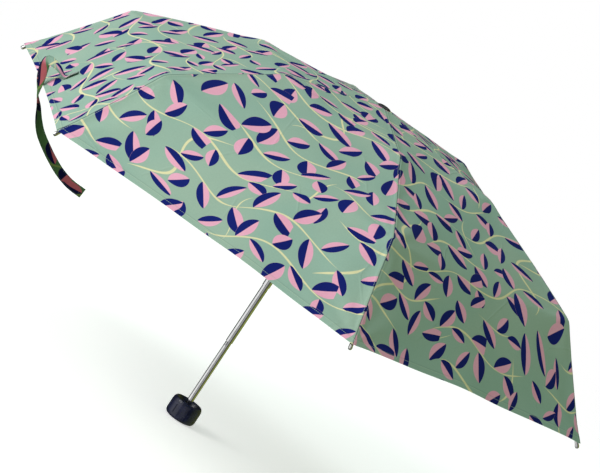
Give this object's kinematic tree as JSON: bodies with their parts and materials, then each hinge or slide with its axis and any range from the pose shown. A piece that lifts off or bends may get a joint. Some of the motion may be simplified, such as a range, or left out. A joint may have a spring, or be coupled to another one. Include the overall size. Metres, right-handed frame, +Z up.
{
  "type": "folding umbrella",
  "caption": "Compact folding umbrella: hexagonal printed cloth canopy on three-fold ribs, telescoping chromed shaft, sliding runner, small round cupped handle and a tie strap.",
  "frame": {"origin": "centre of the flat bottom face of the handle", "axes": "+Z up the shaft from handle to crown with the umbrella open, -X along the first rib, -Y towards the middle of the second panel"},
  "size_m": [0.9036, 0.7832, 0.4848],
  "materials": {
    "cloth": "printed woven cloth, sage green with navy and pink leaves",
    "strap": "the same printed cloth, folded and stitched",
    "tube": "polished chrome plate",
    "rib": "zinc plated steel",
    "wire": "drawn steel wire",
    "tip": "bright metal",
    "black": "moulded black plastic",
    "handle": "glossy dark navy plastic"
  },
  "bodies": {
    "handle": {"handle": "handle", "handle_collar": "tip", "tube_1": "tube"},
    "lower_tube": {"tube_2": "tube"},
    "middle_tube": {"tube_3": "tube"},
    "upper_tube": {"tube_4": "tube", "crown": "black", "crown_ring": "wire", "ferrule_cap": "black", "canopy_panel_1": "cloth", "canopy_panel_2": "cloth", "canopy_panel_3": "cloth", "canopy_panel_4": "cloth", "canopy_panel_5": "cloth", "canopy_panel_6": "cloth", "tie_strap": "strap"},
    "runner": {"runner": "black", "runner_ring": "wire"},
    "runner_catch": {"runner_catch": "rib"},
    "tube_catch_1": {"tube_catch_1": "rib"},
    "tube_catch_2": {"tube_catch_2": "rib"},
    "tube_catch_3": {"tube_catch_3": "rib"},
    "top_rib_1": {"top_rib_1": "rib"},
    "mid_rib_1": {"mid_rib_1": "rib"},
    "outer_rib_1": {"outer_rib_1": "rib", "rib_tip_1": "tip"},
    "stretcher_1": {"stretcher_1": "rib"},
    "tie_rod_1": {"tie_rod_1": "wire"},
    "top_rib_2": {"top_rib_2": "rib"},
    "mid_rib_2": {"mid_rib_2": "rib"},
    "outer_rib_2": {"outer_rib_2": "rib", "rib_tip_2": "tip"},
    "stretcher_2": {"stretcher_2": "rib"},
    "tie_rod_2": {"tie_rod_2": "wire"},
    "top_rib_3": {"top_rib_3": "rib"},
    "mid_rib_3": {"mid_rib_3": "rib"},
    "outer_rib_3": {"outer_rib_3": "rib", "rib_tip_3": "tip"},
    "stretcher_3": {"stretcher_3": "rib"},
    "tie_rod_3": {"tie_rod_3": "wire"},
    "top_rib_4": {"top_rib_4": "rib"},
    "mid_rib_4": {"mid_rib_4": "rib"},
    "outer_rib_4": {"outer_rib_4": "rib", "rib_tip_4": "tip"},
    "stretcher_4": {"stretcher_4": "rib"},
    "tie_rod_4": {"tie_rod_4": "wire"},
    "top_rib_5": {"top_rib_5": "rib"},
    "mid_rib_5": {"mid_rib_5": "rib"},
    "outer_rib_5": {"outer_rib_5": "rib", "rib_tip_5": "tip"},
    "stretcher_5": {"stretcher_5": "rib"},
    "tie_rod_5": {"tie_rod_5": "wire"},
    "top_rib_6": {"top_rib_6": "rib"},
    "mid_rib_6": {"mid_rib_6": "rib"},
    "outer_rib_6": {"outer_rib_6": "rib", "rib_tip_6": "tip"},
    "stretcher_6": {"stretcher_6": "rib"},
    "tie_rod_6": {"tie_rod_6": "wire"}
  },
  "joints": [
    {"name": "lower_telescope", "type": "slide", "parent": "handle", "child": "lower_tube", "axis": [0, 0, 1], "range_m": [-0.0885, 0], "deforming": ["tube_catch_1", "tube_catch_2", "tube_catch_3"]},
    {"name": "middle_telescope", "type": "slide", "parent": "lower_tube", "child": "middle_tube", "axis": [0, 0, 1], "range_m": [-0.0885, 0], "deforming": ["tube_catch_1", "tube_catch_2", "tube_catch_3"]},
    {"name": "upper_telescope", "type": "slide", "parent": "middle_tube", "child": "upper_tube", "axis": [0, 0, 1], "range_m": [-0.0885, 0], "deforming": ["tube_catch_1", "tube_catch_2", "tube_catch_3"]},
    {"name": "tube_catch_1_press", "type": "slide", "parent": "handle", "child": "tube_catch_1", "axis": [0.2588, 0.9659, 0], "range_m": [0, 0.0007], "stiffness_N_per_m": 400, "springref_m": -0.0005},
    {"name": "tube_catch_2_press", "type": "slide", "parent": "lower_tube", "child": "tube_catch_2", "axis": [-0.2588, -0.9659, 0], "range_m": [0, 0.0007], "stiffness_N_per_m": 400, "springref_m": -0.0005},
    {"name": "tube_catch_3_press", "type": "slide", "parent": "middle_tube", "child": "tube_catch_3", "axis": [-0.9659, 0.2588, 0], "range_m": [0, 0.0007], "stiffness_N_per_m": 400, "springref_m": -0.0005},
    {"name": "runner_catch_press", "type": "slide", "parent": "upper_tube", "child": "runner_catch", "axis": [0.2588, 0.9659, 0], "range_m": [0, 0.0007], "stiffness_N_per_m": 400, "springref_m": -0.0005},
    {"name": "canopy_fold", "type": "slide", "parent": "upper_tube", "child": "runner", "axis": [0, 0, 1], "range_m": [-0.12079, 0], "deforming": ["canopy_panel_1", "canopy_panel_2", "canopy_panel_3", "canopy_panel_4", "canopy_panel_5", "canopy_panel_6", "runner_catch", "tie_strap"]},
    {"name": "top_rib_1_hinge", "type": "hinge", "parent": "upper_tube", "child": "top_rib_1", "pos_m": [-0.01, 0, 0.477], "axis": [0, 1, 0], "range_deg": [-82.01, 0]},
    {"name": "mid_rib_1_hinge", "type": "hinge", "parent": "top_rib_1", "child": "mid_rib_1", "pos_m": [-0.18029, 0, 0.46131], "axis": [0, 1, 0], "range_deg": [0, 191.91]},
    {"name": "outer_rib_1_hinge", "type": "hinge", "parent": "mid_rib_1", "child": "outer_rib_1", "pos_m": [-0.34688, 0, 0.39299], "axis": [0, 1, 0], "range_deg": [-150.61, 0]},
    {"name": "stretcher_1_hinge", "type": "hinge", "parent": "runner", "child": "stretcher_1", "pos_m": [-0.0105, 0, 0.42801], "axis": [0, 1, 0], "range_deg": [0, 59.02]},
    {"name": "tie_rod_1_hinge", "type": "hinge", "parent": "mid_rib_1", "child": "tie_rod_1", "pos_m": [-0.16874, 0, 0.45909], "axis": [0, 1, 0], "range_deg": [-189.75, 0]},
    {"name": "top_rib_2_hinge", "type": "hinge", "parent": "upper_tube", "child": "top_rib_2", "pos_m": [-0.005, -0.00866, 0.477], "axis": [-0.866, 0.5, 0], "range_deg": [-82.01, 0]},
    {"name": "mid_rib_2_hinge", "type": "hinge", "parent": "top_rib_2", "child": "mid_rib_2", "pos_m": [-0.09015, -0.15614, 0.46131], "axis": [-0.866, 0.5, 0], "range_deg": [0, 191.91]},
    {"name": "outer_rib_2_hinge", "type": "hinge", "parent": "mid_rib_2", "child": "outer_rib_2", "pos_m": [-0.17344, -0.30041, 0.39299], "axis": [-0.866, 0.5, 0], "range_deg": [-150.61, 0]},
    {"name": "stretcher_2_hinge", "type": "hinge", "parent": "runner", "child": "stretcher_2", "pos_m": [-0.00525, -0.00909, 0.42801], "axis": [-0.866, 0.5, 0], "range_deg": [0, 59.02]},
    {"name": "tie_rod_2_hinge", "type": "hinge", "parent": "mid_rib_2", "child": "tie_rod_2", "pos_m": [-0.08437, -0.14613, 0.45909], "axis": [-0.866, 0.5, 0], "range_deg": [-189.75, 0]},
    {"name": "top_rib_3_hinge", "type": "hinge", "parent": "upper_tube", "child": "top_rib_3", "pos_m": [0.005, -0.00866, 0.477], "axis": [-0.866, -0.5, 0], "range_deg": [-82.01, 0]},
    {"name": "mid_rib_3_hinge", "type": "hinge", "parent": "top_rib_3", "child": "mid_rib_3", "pos_m": [0.09015, -0.15614, 0.46131], "axis": [-0.866, -0.5, 0], "range_deg": [0, 191.91]},
    {"name": "outer_rib_3_hinge", "type": "hinge", "parent": "mid_rib_3", "child": "outer_rib_3", "pos_m": [0.17344, -0.30041, 0.39299], "axis": [-0.866, -0.5, 0], "range_deg": [-150.61, 0]},
    {"name": "stretcher_3_hinge", "type": "hinge", "parent": "runner", "child": "stretcher_3", "pos_m": [0.00525, -0.00909, 0.42801], "axis": [-0.866, -0.5, 0], "range_deg": [0, 59.02]},
    {"name": "tie_rod_3_hinge", "type": "hinge", "parent": "mid_rib_3", "child": "tie_rod_3", "pos_m": [0.08437, -0.14613, 0.45909], "axis": [-0.866, -0.5, 0], "range_deg": [-189.75, 0]},
    {"name": "top_rib_4_hinge", "type": "hinge", "parent": "upper_tube", "child": "top_rib_4", "pos_m": [0.01, 0, 0.477], "axis": [0, -1, 0], "range_deg": [-82.01, 0]},
    {"name": "mid_rib_4_hinge", "type": "hinge", "parent": "top_rib_4", "child": "mid_rib_4", "pos_m": [0.18029, 0, 0.46131], "axis": [0, -1, 0], "range_deg": [0, 191.91]},
    {"name": "outer_rib_4_hinge", "type": "hinge", "parent": "mid_rib_4", "child": "outer_rib_4", "pos_m": [0.34688, 0, 0.39299], "axis": [0, -1, 0], "range_deg": [-150.61, 0]},
    {"name": "stretcher_4_hinge", "type": "hinge", "parent": "runner", "child": "stretcher_4", "pos_m": [0.0105, 0, 0.42801], "axis": [0, -1, 0], "range_deg": [0, 59.02]},
    {"name": "tie_rod_4_hinge", "type": "hinge", "parent": "mid_rib_4", "child": "tie_rod_4", "pos_m": [0.16874, 0, 0.45909], "axis": [0, -1, 0], "range_deg": [-189.75, 0]},
    {"name": "top_rib_5_hinge", "type": "hinge", "parent": "upper_tube", "child": "top_rib_5", "pos_m": [0.005, 0.00866, 0.477], "axis": [0.866, -0.5, 0], "range_deg": [-82.01, 0]},
    {"name": "mid_rib_5_hinge", "type": "hinge", "parent": "top_rib_5", "child": "mid_rib_5", "pos_m": [0.09015, 0.15614, 0.46131], "axis": [0.866, -0.5, 0], "range_deg": [0, 191.91]},
    {"name": "outer_rib_5_hinge", "type": "hinge", "parent": "mid_rib_5", "child": "outer_rib_5", "pos_m": [0.17344, 0.30041, 0.39299], "axis": [0.866, -0.5, 0], "range_deg": [-150.61, 0]},
    {"name": "stretcher_5_hinge", "type": "hinge", "parent": "runner", "child": "stretcher_5", "pos_m": [0.00525, 0.00909, 0.42801], "axis": [0.866, -0.5, 0], "range_deg": [0, 59.02]},
    {"name": "tie_rod_5_hinge", "type": "hinge", "parent": "mid_rib_5", "child": "tie_rod_5", "pos_m": [0.08437, 0.14613, 0.45909], "axis": [0.866, -0.5, 0], "range_deg": [-189.75, 0]},
    {"name": "top_rib_6_hinge", "type": "hinge", "parent": "upper_tube", "child": "top_rib_6", "pos_m": [-0.005, 0.00866, 0.477], "axis": [0.866, 0.5, 0], "range_deg": [-82.01, 0]},
    {"name": "mid_rib_6_hinge", "type": "hinge", "parent": "top_rib_6", "child": "mid_rib_6", "pos_m": [-0.09015, 0.15614, 0.46131], "axis": [0.866, 0.5, 0], "range_deg": [0, 191.91]},
    {"name": "outer_rib_6_hinge", "type": "hinge", "parent": "mid_rib_6", "child": "outer_rib_6", "pos_m": [-0.17344, 0.30041, 0.39299], "axis": [0.866, 0.5, 0], "range_deg": [-150.61, 0]},
    {"name": "stretcher_6_hinge", "type": "hinge", "parent": "runner", "child": "stretcher_6", "pos_m": [-0.00525, 0.00909, 0.42801], "axis": [0.866, 0.5, 0], "range_deg": [0, 59.02]},
    {"name": "tie_rod_6_hinge", "type": "hinge", "parent": "mid_rib_6", "child": "tie_rod_6", "pos_m": [-0.08437, 0.14613, 0.45909], "axis": [0.866, 0.5, 0], "range_deg": [-189.75, 0]}
  ],
  "couplings": [
    {"joint": "top_rib_1_hinge", "follows": "canopy_fold", "rad_per_m": 11.848},
    {"joint": "mid_rib_1_hinge", "follows": "canopy_fold", "rad_per_m": -27.728},
    {"joint": "outer_rib_1_hinge", "follows": "canopy_fold", "rad_per_m": 21.761},
    {"joint": "stretcher_1_hinge", "follows": "canopy_fold", "rad_per_m": -8.5258},
    {"joint": "tie_rod_1_hinge", "follows": "canopy_fold", "rad_per_m": 27.417},
    {"joint": "top_rib_2_hinge", "follows": "canopy_fold", "rad_per_m": 11.848},
    {"joint": "mid_rib_2_hinge", "follows": "canopy_fold", "rad_per_m": -27.728},
    {"joint": "outer_rib_2_hinge", "follows": "canopy_fold", "rad_per_m": 21.761},
    {"joint": "stretcher_2_hinge", "follows": "canopy_fold", "rad_per_m": -8.5258},
    {"joint": "tie_rod_2_hinge", "follows": "canopy_fold", "rad_per_m": 27.417},
    {"joint": "top_rib_3_hinge", "follows": "canopy_fold", "rad_per_m": 11.848},
    {"joint": "mid_rib_3_hinge", "follows": "canopy_fold", "rad_per_m": -27.728},
    {"joint": "outer_rib_3_hinge", "follows": "canopy_fold", "rad_per_m": 21.761},
    {"joint": "stretcher_3_hinge", "follows": "canopy_fold", "rad_per_m": -8.5258},
    {"joint": "tie_rod_3_hinge", "follows": "canopy_fold", "rad_per_m": 27.417},
    {"joint": "top_rib_4_hinge", "follows": "canopy_fold", "rad_per_m": 11.848},
    {"joint": "mid_rib_4_hinge", "follows": "canopy_fold", "rad_per_m": -27.728},
    {"joint": "outer_rib_4_hinge", "follows": "canopy_fold", "rad_per_m": 21.761},
    {"joint": "stretcher_4_hinge", "follows": "canopy_fold", "rad_per_m": -8.5258},
    {"joint": "tie_rod_4_hinge", "follows": "canopy_fold", "rad_per_m": 27.417},
    {"joint": "top_rib_5_hinge", "follows": "canopy_fold", "rad_per_m": 11.848},
    {"joint": "mid_rib_5_hinge", "follows": "canopy_fold", "rad_per_m": -27.728},
    {"joint": "outer_rib_5_hinge", "follows": "canopy_fold", "rad_per_m": 21.761},
    {"joint": "stretcher_5_hinge", "follows": "canopy_fold", "rad_per_m": -8.5258},
    {"joint": "tie_rod_5_hinge", "follows": "canopy_fold", "rad_per_m": 27.417},
    {"joint": "top_rib_6_hinge", "follows": "canopy_fold", "rad_per_m": 11.848},
    {"joint": "mid_rib_6_hinge", "follows": "canopy_fold", "rad_per_m": -27.728},
    {"joint": "outer_rib_6_hinge", "follows": "canopy_fold", "rad_per_m": 21.761},
    {"joint": "stretcher_6_hinge", "follows": "canopy_fold", "rad_per_m": -8.5258},
    {"joint": "tie_rod_6_hinge", "follows": "canopy_fold", "rad_per_m": 27.417}
  ]
}
